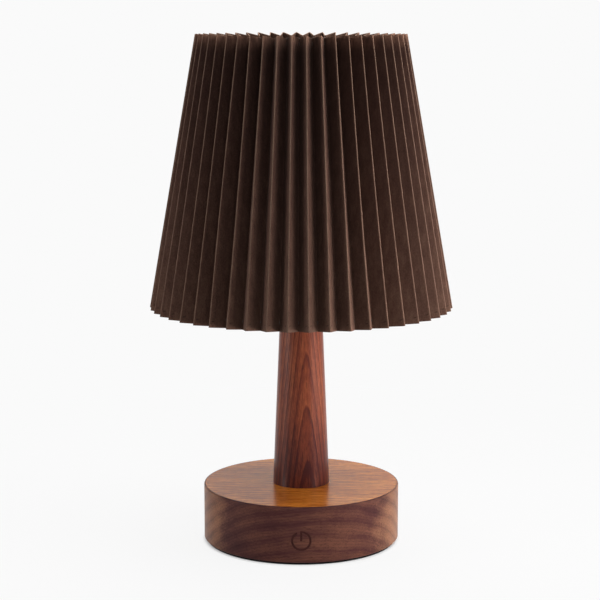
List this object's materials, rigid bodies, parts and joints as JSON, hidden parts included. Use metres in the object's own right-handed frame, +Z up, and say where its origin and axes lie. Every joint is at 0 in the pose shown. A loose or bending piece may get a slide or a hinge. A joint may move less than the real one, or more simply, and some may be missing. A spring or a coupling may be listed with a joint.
{
  "type": "cordless table lamp",
  "caption": "Cordless table lamp: turned wood base with a touch switch and inner battery, tapered wood stem, lift-off pleated conical shade over an opal light.",
  "frame": {"origin": "centre of the foot's underside, where it rests on the table", "axes": "+Z up along the stem, -Y towards the front with the touch sign, +Y towards the charging port"},
  "size_m": [0.184, 0.184, 0.3097],
  "materials": {
    "walnut_base": "satin",
    "walnut_stem": "satin",
    "foot": "matt",
    "cover_plastic": "fine texture",
    "bezel_plastic": "satin",
    "white_plastic": "matt",
    "screw_steel": "zinc plated",
    "ballast_steel": "plain",
    "tube_steel": "plain",
    "head_metal": "satin enamel",
    "led_board": "white mask",
    "led_chip": "phosphor",
    "opal": "opal satin",
    "cell_sleeve": "shrink sleeve",
    "cradle_plastic": "matt",
    "nickel": "plated",
    "board_green": "solder mask",
    "chip_black": "matt",
    "can_aluminium": "plain",
    "socket_steel": "bright",
    "clear_plastic": "clear",
    "copper": "plain",
    "lead_red": "insulation",
    "lead_black": "insulation",
    "lead_white": "insulation",
    "silicone": "matt",
    "wire_enamel": "satin enamel",
    "pleated_sheet": "matt laminated cloth"
  },
  "bodies": {
    "stand": {"foot_pad": "foot", "base_cover": "cover_plastic", "cover_screws": "screw_steel", "ballast_plate": "ballast_steel", "base_body": "walnut_base", "stem": "walnut_stem", "tie_tube": "tube_steel", "lower_washer": "screw_steel", "lower_nut": "screw_steel", "upper_nut": "screw_steel", "head_cup": "head_metal", "led_board": "led_board", "led_chips": "led_chip", "led_connector": "white_plastic", "led_board_screws": "screw_steel", "diffuser": "opal", "battery_cradle": "cradle_plastic", "battery_cell": "cell_sleeve", "cell_tabs": "nickel", "battery_lead_plus": "lead_red", "battery_lead_minus": "lead_black", "control_board": "board_green", "board_screws": "screw_steel", "board_chips": "chip_black", "storage_capacitor": "can_aluminium", "lead_sockets": "white_plastic", "charge_socket": "socket_steel", "socket_tongue": "chip_black", "port_bezel": "bezel_plastic", "charge_light_pipe": "clear_plastic", "touch_electrode": "copper", "touch_lead": "lead_white", "light_lead": "lead_white"},
    "seat": {"seat_washer": "silicone"},
    "shade": {"fitter_ring": "wire_enamel", "spider_arm_1": "wire_enamel", "spider_arm_2": "wire_enamel", "spider_arm_3": "wire_enamel", "top_ring": "wire_enamel", "bottom_ring": "wire_enamel", "rib_1": "wire_enamel", "rib_2": "wire_enamel", "rib_3": "wire_enamel", "rib_4": "wire_enamel", "shade_pleats": "pleated_sheet"}
  },
  "joints": [
    {"name": "shade_turn", "type": "hinge", "parent": "stand", "child": "seat", "pos_m": [0, 0, 0.2235], "axis": [0, 0, 1], "continuous": true},
    {"name": "shade_lift", "type": "slide", "parent": "seat", "child": "shade", "axis": [0, 0, 1], "range_m": [0, 0.06]}
  ]
}
